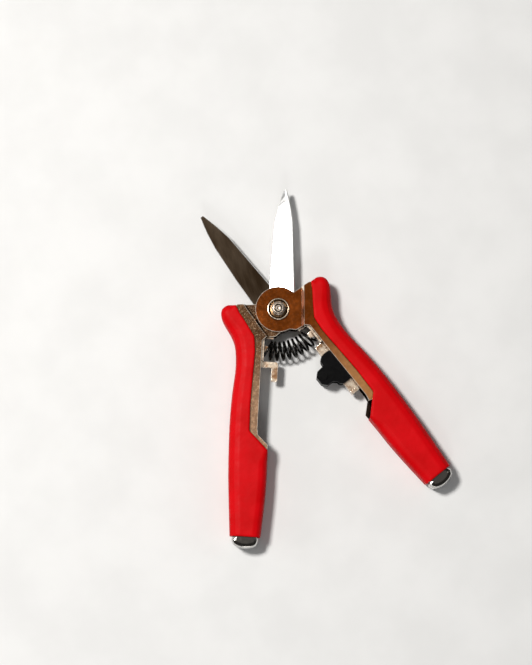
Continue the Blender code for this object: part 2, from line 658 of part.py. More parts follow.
def make_spring(name):
    """Sweep a round wire along the spring's centreline."""
    line = spring_centre_line()
    bm = bmesh.new()
    rings = []
    side = Vector((0, 0, 1))
    for i, point in enumerate(line):
        along = (line[min(i + 1, len(line) - 1)] - line[max(i - 1, 0)]).normalized()
        side = (side - along * side.dot(along)).normalized()
        other = along.cross(side)
        angles = [2 * math.pi * k / SPRING_WIRE_SIDES for k in range(SPRING_WIRE_SIDES)]
        rings.append([bm.verts.new(point + SPRING_WIRE_RADIUS
                                   * (side * math.cos(a) + other * math.sin(a))) for a in angles])
    close_rings(bm, rings)
    return finish(bm, name)


# Placing

def frame_empty(name, angle, parent=None):
    """An empty on the pivot axis at the middle plane, which carries the pieces of one body."""
    empty = bpy.data.objects.new(name, None)
    bpy.context.scene.collection.objects.link(empty)
    empty.parent = parent
    if parent is None:
        empty.location = (0, 0, GRIP_HALF_DEPTH * METRE)
    empty.rotation_euler = (0, 0, angle)
    return empty


def place(item, frame, look, turned_over=False):
    """Give a piece its own material, smooth shading and its frame. A left piece is turned over."""
    (red, green, blue), roughness, metallic = look
    material = bpy.data.materials.new(item.name)
    material.use_nodes = True
    shader = material.node_tree.nodes["Principled BSDF"]
    shader.inputs["Base Color"].default_value = (red, green, blue, 1)
    shader.inputs["Roughness"].default_value = roughness
    shader.inputs["Metallic"].default_value = metallic
    item.data.materials.clear()
    item.data.materials.append(material)
    item.data.shade_smooth()
    item.data.set_sharp_from_angle(angle=math.radians(35))
    item.parent = frame
    if turned_over:
        item.rotation_euler = (0, math.pi, 0)
    return item


def copy_of(item, name):
    twin = bpy.data.objects.new(name, item.data.copy())
    twin.data.name = name
    bpy.context.scene.collection.objects.link(twin)
    return twin


def build():
    for item in list(bpy.data.objects):
        bpy.data.objects.remove(item)
    left = frame_empty("left_arm_frame", -HALF_OPENING)
    right = frame_empty("right_arm_frame", HALF_OPENING)
    catch = frame_empty("catch_frame", 0.0, right)

    # Pieces that both arms have
    shared = [
        (make_channel("right_channel"), "left_channel", PLATED_STEEL),
        (make_grip("right_grip"), "left_grip", RED_VINYL),
        (make_blade("rear_blade"), "front_blade", BRIGHT_BLADE),
    ]
    for where, spot in RIVET_PLACES.items():
        shared.append((make_blade_rivet(f"rear_blade_rivet_{where}", spot),
                       f"front_blade_rivet_{where}", DARK_STEEL))
    for level, z in (("front", WEB_RIVET_Z), ("rear", -WEB_RIVET_Z)):
        shared.append((make_web_rivet(f"carrier_rivet_{level}", z), f"keeper_rivet_{level}",
                       DARK_STEEL))
    for item, twin_name, look in shared:
        twin = copy_of(item, twin_name)
        place(item, right, look)
        place(twin, left, look, turned_over=True)

    # Pieces that only one arm has
    place(make_keeper("keeper_hook_plate"), left, PLATED_STEEL, turned_over=True)
    place(make_carrier("catch_carrier_plate"), right, PLATED_STEEL)
    place(make_catch_front("catch_slider_front"), catch, BLACK_PLASTIC)
    place(make_catch_rear("catch_slider_rear"), catch, BLACK_PLASTIC)
    pin = prism("catch_guide_pin", circle(PIN_PLACE, PIN_RADIUS, 16), -PIN_HALF, PIN_HALF)
    place(pin, catch, DARK_STEEL)
    for item, look in make_pivot_pieces():
        place(item, left, look)
    middle = frame_empty("spring_frame", 0.0)
    place(make_spring("arch_spring"), middle, BLACK_WIRE)


build()
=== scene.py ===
"""Looks of the floral snips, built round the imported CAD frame.

Lengths are in metres in the frame's own axes: +Y runs from the handles to the blade tips along the
middle of the open snips, +Z is the front, and z = 0 is the surface that the snips lie on. The
profiles that a lathe turns are in millimetres. Colours are linear red, green and blue.
"""

import json
import math

import bmesh
import bpy
import numpy as np
from mathutils import Matrix, Vector


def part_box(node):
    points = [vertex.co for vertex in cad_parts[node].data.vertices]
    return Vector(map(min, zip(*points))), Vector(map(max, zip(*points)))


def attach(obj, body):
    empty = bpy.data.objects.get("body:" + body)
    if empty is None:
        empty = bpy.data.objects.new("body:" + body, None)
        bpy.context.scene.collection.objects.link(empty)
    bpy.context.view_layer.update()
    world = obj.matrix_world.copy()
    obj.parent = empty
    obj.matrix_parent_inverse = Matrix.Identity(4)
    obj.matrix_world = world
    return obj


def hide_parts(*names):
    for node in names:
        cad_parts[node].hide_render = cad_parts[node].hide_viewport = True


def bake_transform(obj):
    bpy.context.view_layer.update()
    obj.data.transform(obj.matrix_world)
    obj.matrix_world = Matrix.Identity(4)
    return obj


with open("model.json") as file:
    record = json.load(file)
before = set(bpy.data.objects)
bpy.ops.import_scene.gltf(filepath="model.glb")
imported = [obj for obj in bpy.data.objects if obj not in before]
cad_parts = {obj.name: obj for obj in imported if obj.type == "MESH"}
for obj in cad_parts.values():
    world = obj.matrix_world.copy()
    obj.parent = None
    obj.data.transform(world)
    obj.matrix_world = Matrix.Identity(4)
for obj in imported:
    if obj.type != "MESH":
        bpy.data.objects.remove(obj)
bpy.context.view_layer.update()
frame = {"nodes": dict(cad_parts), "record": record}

MM = 0.001  # metres in a millimetre

HALF_OPENING = math.radians(20.9)  # how far each arm is turned from the middle of the open snips
MIDDLE_HEIGHT = 7.0 * MM  # level of the plane in which the blades meet

SNIPS_MIDDLE = Vector((0, -0.02, 0))

# The photographer's place
VIEW_TURN = math.radians(17.7)  # how far the snips lie turned anticlockwise in the view
VIEW_TILT = math.radians(8.0)  # how far the camera leans towards the handles
VIEW_DISTANCE = 0.75
VIEW_HEIGHT = 0.2815  # height that the view takes in at the aim
VIEW_AIM = Vector((-8.05, -8.1, 12.0)) * MM

# Rounding of the edges of the pieces that keep their CAD shape
CHANNEL_ROUNDING = 0.28 * MM
CHANNEL_FOLD_ROUNDING = 0.5 * MM
BLADE_ROUNDING = 0.06 * MM
ROUNDINGS = {
    "keeper_hook_plate": 0.25 * MM, "catch_carrier_plate": 0.25 * MM,
    "catch_slider_front": 0.22 * MM, "catch_slider_rear": 0.22 * MM,
}
VINYL_GRID = 0.36 * MM  # mesh size of the grips
VINYL_ROUNDS = 36  # rounds of smoothing that let the grips' edges flow

# Spring, drawn again with more points than the CAD model has
SPRING_ARC_RADIUS = 17.6 * MM
SPRING_COIL_RADIUS = 3.75 * MM
SPRING_WIRE_RADIUS = 0.55 * MM
SPRING_LEAN_START = 0.6  # share of the way to an end at which the turns begin to lean
SPRING_TURNS = 9
SPRING_HALF_ANGLE = math.radians(34.0)
SPRING_POINTS_PER_TURN = 28
SPRING_SIDES = 10  # sides of the wire's section


# Material building blocks

class Surface:
    """A Principled material that is put together from procedural steps."""

    def __init__(self, name, metallic, roughness):
        self.material = bpy.data.materials.new(name)
        self.material.use_nodes = True
        self.tree = self.material.node_tree
        self.shader = self.tree.nodes["Principled BSDF"]
        self.shader.inputs["Metallic"].default_value = metallic
        self.shader.inputs["Roughness"].default_value = roughness
        self.place = self.add("ShaderNodeTexCoord").outputs["Object"]

    def add(self, kind, **settings):
        node = self.tree.nodes.new(kind)
        for key, value in settings.items():
            setattr(node, key, value)
        return node

    def link(self, source, target):
        self.tree.links.new(source, target)

    def noise(self, size, detail=3.0, rough=0.55, stretch=(1, 1, 1), turn=0.0):
        """Noise with features of about this size in metres, times its stretch along each axis. The
        turn comes after the stretch, so it changes the pattern and not the way that it runs."""
        mapping = self.add("ShaderNodeMapping")
        mapping.inputs["Rotation"].default_value = (0, 0, turn)
        mapping.inputs["Scale"].default_value = [1 / (size * s) for s in stretch]
        self.link(self.place, mapping.inputs["Vector"])
        texture = self.add("ShaderNodeTexNoise")
        texture.inputs["Scale"].default_value = 1.0
        texture.inputs["Detail"].default_value = detail
        texture.inputs["Roughness"].default_value = rough
        self.link(mapping.outputs["Vector"], texture.inputs["Vector"])
        return texture.outputs["Fac"]

    def ramp(self, value, low, high, out_low=0.0, out_high=1.0):
        """A smooth step from out_low to out_high, as value goes from low to high."""
        node = self.add("ShaderNodeMapRange", interpolation_type="SMOOTHSTEP")
        limits = {"From Min": low, "From Max": high, "To Min": out_low, "To Max": out_high}
        for key, limit in limits.items():
            node.inputs[key].default_value = limit
        self.link(value, node.inputs["Value"])
        return node.outputs["Result"]

    def math(self, operation, first, second):
        """Arithmetic on two values, each a number or a socket."""
        node = self.add("ShaderNodeMath", operation=operation)
        for socket, value in zip(node.inputs, (first, second)):
            if isinstance(value, (int, float)):
                socket.default_value = value
            else:
                self.link(value, socket)
        return node.outputs["Value"]

    def mix(self, share, first, second):
        """Colour between first and second, each a triple or a socket."""
        node = self.add("ShaderNodeMix", data_type="RGBA")
        self.link(share, node.inputs["Factor"])
        for socket, value in ((node.inputs[6], first), (node.inputs[7], second)):
            if isinstance(value, tuple):
                socket.default_value = (*value, 1)
            else:
                self.link(value, socket)
        return node.outputs[2]

    def edge_highlights(self, width):
        """1 on outer edges and 0 on open faces, where highlights are painted."""
        inside = self.add("ShaderNodeAmbientOcclusion", samples=8, inside=True, only_local=True)
        inside.inputs["Distance"].default_value = width
        return self.ramp(inside.outputs["AO"], 0.92, 0.55)

    def crevices(self, width):
        """1 in inner corners and 0 on open faces, where shade is painted."""
        around = self.add("ShaderNodeAmbientOcclusion", samples=8)
        around.inputs["Distance"].default_value = width
        return self.ramp(around.outputs["AO"], 0.85, 0.3)

    def height_of(self, vector):
        split = self.add("ShaderNodeSeparateXYZ")
        self.link(vector, split.inputs["Vector"])
        return split.outputs["Z"]

    def facing_up(self):
        """1 where the surface looks straight at the front of the snips, and -1 at the back."""
        return self.height_of(self.add("ShaderNodeTexCoord").outputs["Normal"])

    def lies_flat(self, least, most):
        """1 where the surface is parallel to the plane of the snips, and 0 on bends and sides."""
        return self.ramp(self.math("ABSOLUTE", self.facing_up(), 0.0), least, most)

    def inner_floor(self):
        """1 on the faces of the lower half that look up into the hollow of the snips, where shade is
        painted.
        """
        low = self.ramp(self.height_of(self.place), MIDDLE_HEIGHT, MIDDLE_HEIGHT - 0.5 * MM)
        return self.math("MULTIPLY", low, self.ramp(self.facing_up(), 0.5, 0.8))

    def from_pivot(self, start, end):
        """0 nearer to the pivot axis than start, and 1 beyond end."""
        flattened = self.add("ShaderNodeVectorMath", operation="MULTIPLY")
        flattened.inputs[1].default_value = (1, 1, 0)
        self.link(self.place, flattened.inputs[0])
        length = self.add("ShaderNodeVectorMath", operation="LENGTH")
        self.link(flattened.outputs["Vector"], length.inputs[0])
        return self.ramp(length.outputs["Value"], start, end)

    def colour(self, value):
        self.link(value, self.shader.inputs["Base Color"])

    def roughness(self, value):
        self.link(value, self.shader.inputs["Roughness"])

    def bump(self, *layers):
        """Bump from (height socket, depth in metres) layers."""
        normal = None
        for height, depth in layers:
            node = self.add("ShaderNodeBump")
            node.inputs["Distance"].default_value = depth
            self.link(height, node.inputs["Height"])
            if normal:
                self.link(normal, node.inputs["Normal"])
            normal = node.outputs["Normal"]
        self.link(normal, self.shader.inputs["Normal"])


# Materials

def plated_steel(name, dark_brown, light_brown, tan, flecks):
    """Bright plate over pressed sheet, with its light painted in. The flat faces carry a painted brown
    reflection of the room near the pivot, which turns tan down the arm, the bends and sides are painted
    pale as if lit, the edges get painted highlights, and the bare end is neutral chrome with a painted
    dark reflection on its flat face. Flecks is how strongly bright specks show on the flat faces, from 0
    to 1."""
    pale_dark = (0.66, 0.55, 0.43)
    pale_light = (0.90, 0.82, 0.70)
    fleck_colour = (0.95, 0.70, 0.45)
    edge_highlight = (0.95, 0.88, 0.76)
    chrome_face = (0.10, 0.09, 0.08)
    chrome_bend = (0.58, 0.57, 0.55)
    crevice_shade = (0.04, 0.018, 0.007)
    inner_shade = (0.035, 0.022, 0.014)
    tan_share = 0.55
    edge_highlight_share = 0.8

    look = Surface(name, 1.0, 0.17)
    grain = look.noise(0.45 * MM, 3.0)
    fleck = look.math("MULTIPLY", look.ramp(grain, 0.52, 0.68), flecks)
    # Flat faces: a painted brown reflection of the room, turning tan further down the arm.
    brown = look.mix(look.ramp(look.noise(9 * MM, 3.0), 0.35, 0.65), dark_brown, light_brown)
    flat = look.mix(look.math("MULTIPLY", look.from_pivot(14 * MM, 45 * MM), tan_share), brown, tan)
    flat = look.mix(fleck, flat, fleck_colour)
    pale = look.mix(look.ramp(look.noise(2 * MM, 3.0), 0.3, 0.7), pale_dark, pale_light)
    bare_end = look.from_pivot(94 * MM, 95 * MM)
    # The bare end's flat face gets a painted dark reflection, and its bends are chrome.
    flat = look.mix(bare_end, flat, chrome_face)
    pale = look.mix(bare_end, pale, chrome_bend)
    # Flat faces take the painted reflection, and bends and sides are painted pale as if they catch the
    # light.
    base = look.mix(look.lies_flat(0.84, 0.97), pale, flat)
    # Painted highlights on the edges.
    base = look.mix(look.math("MULTIPLY", look.edge_highlights(0.35 * MM), edge_highlight_share), base, edge_highlight)
    # Painted shade in the inner corners.
    base = look.mix(look.crevices(1.0 * MM), base, crevice_shade)
    # Painted shade on the lower faces that look up into the hollow of the snips.
    base = look.mix(look.inner_floor(), base, inner_shade)
    look.colour(base)
    look.roughness(look.ramp(look.noise(1.5 * MM, 5.0), 0.3, 0.7, 0.12, 0.21))
    scratch = look.noise(0.15 * MM, 2.0, stretch=(1, 30, 1), turn=0.4)
    look.bump((grain, 0.010 * MM), (scratch, 0.005 * MM))
    return look.material


def bracket_steel(name):
    """The same plate on the brackets in the channels, paler and blotched with brown."""
    brown = (0.34, 0.18, 0.09)
    pale = (0.85, 0.70, 0.54)
    speck = (0.30, 0.15, 0.07)
    edge_highlight = (1.0, 0.96, 0.88)
    crevice_shade = (0.06, 0.03, 0.015)
    speck_share = 0.6

    look = Surface(name, 1.0, 0.25)
    grain = look.noise(0.5 * MM, 3.0)
    base = look.mix(look.ramp(look.noise(2.5 * MM, 4.0), 0.35, 0.65), brown, pale)
    base = look.mix(look.math("MULTIPLY", look.ramp(grain, 0.58, 0.72), speck_share), base, speck)
    # Painted highlights on the edges.
    base = look.mix(look.edge_highlights(0.4 * MM), base, edge_highlight)
    # Painted shade in the inner corners.
    base = look.mix(look.crevices(1.0 * MM), base, crevice_shade)
    look.colour(base)
    look.roughness(look.ramp(grain, 0.3, 0.7, 0.15, 0.26))
    look.bump((grain, 0.02 * MM))
    return look.material


def washer_steel(name):
    """A painted dark shaded reflection in the hollow of the washer and a painted highlight on its raised
    rim.
    """
    hollow_dark = (0.10, 0.055, 0.025)
    hollow_light = (0.24, 0.14, 0.07)
    rim_highlight = (0.62, 0.54, 0.43)
    crevice_shade = (0.03, 0.02, 0.012)

    look = Surface(name, 1.0, 0.22)
    grain = look.noise(0.4 * MM, 3.0)
    # The hollow's browns are a painted shaded reflection.
    hollow = look.mix(look.ramp(grain, 0.35, 0.65), hollow_dark, hollow_light)
    # A painted highlight on the raised rim, by distance from the pivot.
    base = look.mix(look.from_pivot(4.15 * MM, 4.35 * MM), hollow, rim_highlight)
    # Painted shade in the inner corners.
    base = look.mix(look.crevices(0.8 * MM), base, crevice_shade)
    look.colour(base)
    look.roughness(look.ramp(grain, 0.3, 0.7, 0.20, 0.34))
    look.bump((grain, 0.01 * MM))
    return look.material


def blade_steel(name, dark, bright, rough):
    """Stainless steel with grinding lines along the length of the snips. Rough is the least and the
    most roughness."""
    edge = (0.95, 0.95, 0.93)
    turn = math.radians(20)

    look = Surface(name, 1.0, 0.3)
    grind = look.noise(0.12 * MM, 3.0, stretch=(1, 40, 1), turn=turn)
    cloud = look.noise(7 * MM, 2.0, stretch=(1, 3, 1), turn=turn)
    base = look.mix(look.ramp(cloud, 0.25, 0.75), dark, bright)
    # Painted highlights on the edges.
    base = look.mix(look.edge_highlights(0.35 * MM), base, edge)
    look.colour(base)
    look.roughness(look.ramp(grind, 0.3, 0.7, *rough))
    look.bump((grind, 0.006 * MM))
    return look.material


def fastener_steel(name):
    """Greyed plate on the nut, the bolt and the rivets, with painted highlights on the edges and painted
    shade in the inner corners.
    """
    dark = (0.26, 0.20, 0.15)
    light = (0.50, 0.42, 0.34)
    edge_highlight = (0.95, 0.92, 0.86)
    crevice_shade = (0.03, 0.025, 0.02)

    look = Surface(name, 1.0, 0.28)
    base = look.mix(look.ramp(look.noise(1.2 * MM, 4.0), 0.3, 0.7), dark, light)
    # Painted highlights on the edges.
    base = look.mix(look.edge_highlights(0.3 * MM), base, edge_highlight)
    # Painted shade in the inner corners.
    base = look.mix(look.crevices(0.8 * MM), base, crevice_shade)
    look.colour(base)
    look.roughness(look.ramp(look.noise(0.5 * MM, 3.0), 0.3, 0.7, 0.18, 0.36))
    look.bump((look.noise(0.3 * MM, 3.0), 0.015 * MM))
    return look.material


def red_vinyl(name):
    """Dipped vinyl: satin, a little uneven, with a fine skin."""
    deep_red = (0.45, 0.0008, 0.002)
    bright_red = (0.53, 0.0015, 0.004)
    speck = (0.36, 0.0008, 0.0015)
    speck_share = 0.25

    look = Surface(name, 0.0, 0.4)
    base = look.mix(look.ramp(look.noise(9 * MM, 4.0), 0.3, 0.7), deep_red, bright_red)
    specks = look.ramp(look.noise(0.8 * MM, 2.0), 0.55, 0.8)
    base = look.mix(look.math("MULTIPLY", specks, speck_share), base, speck)
    look.colour(base)
    look.roughness(look.ramp(look.noise(2.5 * MM, 5.0), 0.25, 0.75, 0.40, 0.56))
    skin = look.noise(0.35 * MM, 2.0)
    swell = look.noise(5 * MM, 2.0)
    look.bump((skin, 0.02 * MM), (swell, 0.10 * MM))
    look.shader.inputs["Specular IOR Level"].default_value = 0.05
    return look.material


def black_plastic(name):
    """Moulded plastic with a fine grain, and a grey painted highlight on the edges."""
    black = (0.0008, 0.0008, 0.0009)
    dark_grey = (0.0025, 0.0025, 0.0025)
    grey_edge_highlight = (0.02, 0.02, 0.02)
    grey_edge_highlight_share = 0.3

    look = Surface(name, 0.0, 0.42)
    base = look.mix(look.ramp(look.noise(2 * MM, 4.0), 0.3, 0.7), black, dark_grey)
    # A grey painted highlight on the edges.
    base = look.mix(look.math("MULTIPLY", look.edge_highlights(0.3 * MM), grey_edge_highlight_share), base, grey_edge_highlight)
    look.colour(base)
    look.roughness(look.ramp(look.noise(0.6 * MM, 4.0), 0.3, 0.7, 0.30, 0.45))
    look.bump((look.noise(0.2 * MM, 2.0), 0.015 * MM))
    look.shader.inputs["Specular IOR Level"].default_value = 0.04
    return look.material


def black_wire(name):
    """Blackened spring wire."""
    black = (0.005, 0.005, 0.005)
    brown_black = (0.028, 0.024, 0.020)

    look = Surface(name, 0.9, 0.24)
    base = look.mix(look.ramp(look.noise(1.0 * MM, 3.0), 0.35, 0.7), black, brown_black)
    look.colour(base)
    look.roughness(look.ramp(look.noise(0.5 * MM, 3.0), 0.3, 0.7, 0.16, 0.34))
    look.bump((look.noise(0.15 * MM, 2.0), 0.015 * MM))
    return look.material


LOOKS = {
    # The browns and tan of the plate are the colours of its painted reflection.
    "plated_steel": plated_steel("plated_steel", dark_brown=(0.17, 0.038, 0.004),
                                 light_brown=(0.27, 0.062, 0.008), tan=(0.95, 0.47, 0.18), flecks=0.05),
    # The two blades are the same stainless steel: the front one is painted bright as if lit, and the rear
    # one painted dark as a shaded reflection.
    "bright_blade": blade_steel("bright_blade", dark=(0.80, 0.80, 0.79), bright=(0.92, 0.92, 0.91),
                                rough=(0.24, 0.42)),
    "dark_blade": blade_steel("dark_blade", dark=(0.038, 0.023, 0.012), bright=(0.095, 0.068, 0.045),
                              rough=(0.13, 0.20)),
    "fastener_steel": fastener_steel("fastener_steel"),
    "red_vinyl": red_vinyl("red_vinyl"),
    "black_plastic": black_plastic("black_plastic"),
    "black_wire": black_wire("black_wire"),
}
# Pieces whose plate looks different from the rest of their slot
OWN_LOOKS = {
    # Its browns and tan are again a painted reflection.
    "left_channel": plated_steel("plated_steel_speckled", dark_brown=(0.10, 0.045, 0.020),
                                 light_brown=(0.18, 0.085, 0.036), tan=(0.72, 0.42, 0.25), flecks=0.45),
    "keeper_hook_plate": bracket_steel("bracket_steel"),
    "pivot_front_washer": washer_steel("washer_steel"),
}
OWN_LOOKS["catch_carrier_plate"] = OWN_LOOKS["keeper_hook_plate"]

SLOT_OF = {part["node"]: part["material_slot"] for part in frame["record"]["subparts"]}
BODY_OF = {node: body for body, nodes in frame["record"]["behaviour"]["bodies"].items() for node in nodes}


# Ways to make and place a piece

def dress(item, node):
    """Give a piece the look of a CAD node."""
    item.data.materials.clear()
    item.data.materials.append(OWN_LOOKS.get(node, LOOKS[SLOT_OF[node]]))


def put_in_place(item, *nodes):
    """Let a finished piece stand for CAD nodes of one body, and ride with it."""
    dress(item, nodes[0])
    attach(item, BODY_OF[nodes[0]])
    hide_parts(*nodes)


def link_mesh(name, mesh):
    """A new object in the scene with this mesh."""
    item = bpy.data.objects.new(name, mesh)
    bpy.context.scene.collection.objects.link(item)
    return item


def round_folds(bm, radius):
    """Give the long folds of pressed sheet, which are bent by about 60 degrees, a wide rounding."""
    shortest = 5 * MM
    least_bend = math.radians(52)
    most_bend = math.radians(75)
    folds = [edge for edge in bm.edges
             if len(edge.link_faces) == 2 and edge.calc_length() > shortest
             and least_bend < edge.calc_face_angle() < most_bend]
    bmesh.ops.bevel(bm, geom=folds, offset=radius, segments=4, profile=0.5, affect="EDGES",
                    clamp_overlap=True)


def refined(node, name, bevel, sharp=28.0, crease=40.0, fold=0.0):
    """A copy of a CAD node's mesh with its edges rounded. Edges bent more than sharp degrees are
    rounded, and any still bent more than crease degrees stay sharp in the shading."""
    same_point = 0.01 * MM
    same_plane = math.radians(1.5)
    mesh = frame["nodes"][node].data.copy()
    bm = bmesh.new()
    bm.from_mesh(mesh)
    bmesh.ops.remove_doubles(bm, verts=bm.verts, dist=same_point)
    bmesh.ops.dissolve_limit(bm, angle_limit=same_plane, verts=bm.verts, edges=bm.edges)
    if fold:
        round_folds(bm, fold)
    bm.to_mesh(mesh)
    bm.free()
    item = link_mesh(name, mesh)
    rounding = item.modifiers.new("rounding", "BEVEL")
    rounding.width = bevel
    rounding.segments = 3
    rounding.limit_method = "ANGLE"
    rounding.angle_limit = math.radians(sharp)
    rounding.use_clamp_overlap = True
    evaluated(item)
    smooth(item, crease)
    level = item.modifiers.new("level", "WEIGHTED_NORMAL")
    level.keep_sharp = True
    return evaluated(item)


def evaluated(item):
    """Swap an object's modifiers for the mesh that they make."""
    graph = bpy.context.evaluated_depsgraph_get()
    final = bpy.data.meshes.new_from_object(item.evaluated_get(graph))
    item.modifiers.clear()
    item.data = final
    return item


def relaxed(mesh, rounds, shrink=0.5, swell=-0.52):
    """Smooth a mesh in place without shrinking it, by a step inwards and one outwards in each
    round."""
    points = np.empty(len(mesh.vertices) * 3)
    mesh.vertices.foreach_get("co", points)
    points = points.reshape(-1, 3)
    ends = np.empty(len(mesh.edges) * 2, np.int32)
    mesh.edges.foreach_get("vertices", ends)
    first, second = ends.reshape(-1, 2).T
    count = np.bincount(ends, minlength=len(points))[:, None]
    for _ in range(rounds):
        for share in (shrink, swell):
            total = np.zeros_like(points)
            np.add.at(total, first, points[second])
            np.add.at(total, second, points[first])
            points += share * (total / count - points)
    mesh.vertices.foreach_set("co", points.ravel())
    mesh.update()


def moulded(node, name, grid, rounds):
    """A CAD node's shape as soft dipped vinyl: an even mesh whose edges have flowed round, and
    which stays in the node's box."""
    item = link_mesh(name, frame["nodes"][node].data.copy())
    remesh = item.modifiers.new("grid", "REMESH")
    remesh.mode = "VOXEL"
    remesh.voxel_size = grid
    evaluated(item)
    relaxed(item.data, rounds)
    low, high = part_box(node)
    for vertex in item.data.vertices:
        vertex.co = [min(max(value, least), most) for value, least, most in zip(vertex.co, low, high)]
    item.data.shade_smooth()
    return item


def pivot_ring(bm, radius, height, sides, turn=0.0):
    """Points round the pivot axis, with radius and height in millimetres."""
    angles = [2 * math.pi * i / sides + turn for i in range(sides)]
    return [bm.verts.new((radius * math.cos(a) * MM, radius * math.sin(a) * MM, height * MM))
            for a in angles]


def join_rings(bm, first, second):
    """Faces between two rings with equally many points."""
    for i in range(len(first)):
        j = (i + 1) % len(first)
        bm.faces.new((first[i], first[j], second[j], second[i]))


def lathe(name, profile, steps=72):
    """A solid of revolution about the pivot axis from (radius, height) points in millimetres, which
    run round a closed section or start and end on the axis."""
    bm = bmesh.new()
    rings = [pivot_ring(bm, radius, height, steps if radius else 1) for radius, height in profile]
    closed = profile[0][0] != 0
    for k in range(len(rings) if closed else len(rings) - 1):
        first, second = rings[k], rings[(k + 1) % len(rings)]
        for i in range(steps):
            j = (i + 1) % steps
            corners = [first[i % len(first)], first[j % len(first)], second[j % len(second)],
                       second[i % len(second)]]
            bm.faces.new(list(dict.fromkeys(corners)))
    return from_bmesh(name, bm)


def from_bmesh(name, bm):
    """A new object in the scene from a bmesh, which is freed."""
    bmesh.ops.recalc_face_normals(bm, faces=bm.faces)
    mesh = bpy.data.meshes.new(name)
    bm.to_mesh(mesh)
    bm.free()
    return link_mesh(name, mesh)


def combined(item, tool, operation):
    """Apply a Boolean at once and remove the tool."""
    step = item.modifiers.new("combine", "BOOLEAN")
    step.object = tool
    step.operation = operation
    step.solver = "EXACT"
    evaluated(item)
    bpy.data.objects.remove(tool)
    return item


def bend(centre, radius, start, end, steps=6):
    """Points on an arc between two angles in degrees, for a lathe's profile."""
    angles = [math.radians(start + (end - start) * i / steps) for i in range(steps + 1)]
    return [(centre[0] + radius * math.cos(a), centre[1] + radius * math.sin(a)) for a in angles]


def smooth(item, crease):
    """Shade a piece smooth, except on edges bent more than crease degrees."""
    item.data.shade_smooth()
    item.data.set_sharp_from_angle(angle=math.radians(crease))
    return item


def heights(node):
    """Lowest and highest level of a CAD node, in millimetres."""
    low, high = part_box(node)
    return low.z / MM, high.z / MM


def build_washer():
    """Dished washer: a rolled rim, a hollow ring, and a flat seat for the nut."""
    low, high = heights("pivot_front_washer")
    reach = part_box("pivot_front_washer")[1].x / MM
    bore = 1.75
    chamfer = 0.1
    rim_radius = 0.38
    rim_centre = (reach - rim_radius, high - rim_radius)
    hollow_radius = 0.55
    hollow_centre = (reach - 1.35, high - 0.05)
    seat = high - 0.35
    seat_reach = reach - 2.0
    profile = [(bore, low), (reach - chamfer, low), (reach, low + chamfer),
               *bend(rim_centre, rim_radius, 0, 150),
               *bend(hollow_centre, hollow_radius, -20, -106.667, steps=4),
               (seat_reach, seat), (bore, seat)]
    return smooth(lathe("pivot_washer_dished", profile), 40)


def build_nut():
    """Hexagon nut with chamfered corners and a domed locking collar, turned with the left arm."""
    low, high = heights("pivot_nut")
    corner = max(vertex.co.xy.length for vertex in frame["nodes"]["pivot_nut"].data.vertices) / MM
    flats = corner * math.cos(math.pi / 6)
    collar_height = 0.8
    top = high - collar_height
    bm = bmesh.new()
    base_ring = pivot_ring(bm, corner, low, 6, -HALF_OPENING)
    top_ring = pivot_ring(bm, corner, top, 6, -HALF_OPENING)
    join_rings(bm, base_ring, top_ring)
    bm.faces.new(base_ring)
    bm.faces.new(top_ring)
    nut = from_bmesh("pivot_nut_chamfered", bm)

    # What stays of the hexagon: the cone takes the corners off round its top face
    below = low - 1
    chamfer_depth = 0.4
    chamfer_inset = 0.12
    cone_top = top + 0.02
    cone = [(0, below), (corner + 0.5, below), (corner + 0.1, top - chamfer_depth),
            (flats - chamfer_inset, cone_top), (0, cone_top)]
    combined(nut, lathe("cone", cone), "INTERSECT")

    collar_radius = flats - 0.25
    collar_overlap = 0.4
    collar_root = top - collar_overlap
    dome = 0.42
    mouth = 1.9
    collar = [(0, collar_root), (collar_radius, collar_root), (collar_radius, high - dome),
              *bend((collar_radius - dome, high - dome), dome, 10, 90), (mouth, high), (0, high)]
    combined(nut, lathe("collar", collar), "UNION")

    bore_radius = 1.7
    mouth_depth = 0.2
    above = high + 0.1
    bore = [(0, below), (bore_radius, below), (bore_radius, high - mouth_depth), (mouth, above),
            (0, above)]
    combined(nut, lathe("bore", bore), "DIFFERENCE")
    return smooth(nut, 28)


def build_bolt():
    """Shoulder bolt with a domed head behind, and a thread drawn as rings, whose end shows in the
    nut."""
    low, high = heights("pivot_bolt")
    head_flat = 3.2
    head_bend = 0.8
    head = head_flat + head_bend
    head_chamfer = 0.2
    head_top = low + 1.95
    shoulder = 2.5
    shoulder_top = high - 4.3
    crest = 1.5
    root = 1.22
    pitch = 0.5
    thread_start = high - 4.2
    thread_end = high - 0.6
    point = high - 0.35
    thread = []
    level = thread_start
    while level < thread_end:
        thread += [(crest, level), (crest, level + 0.1), (root, level + 0.25), (crest, level + 0.4)]
        level += pitch
    profile = [(0, low), (head_flat, low), *bend((head_flat, low + head_bend), head_bend, -90, 0),
               (head, head_top - head_chamfer), (head - head_chamfer, head_top), (shoulder, head_top),
               (shoulder, shoulder_top), (crest, shoulder_top + 0.05), *thread,
               # The end is chamfered, with a dimple in its middle
               (crest, point), (1.15, high), (0.75, high), (0.62, point), (0, high - 0.5)]
    return smooth(lathe("pivot_bolt_threaded", profile), 30)


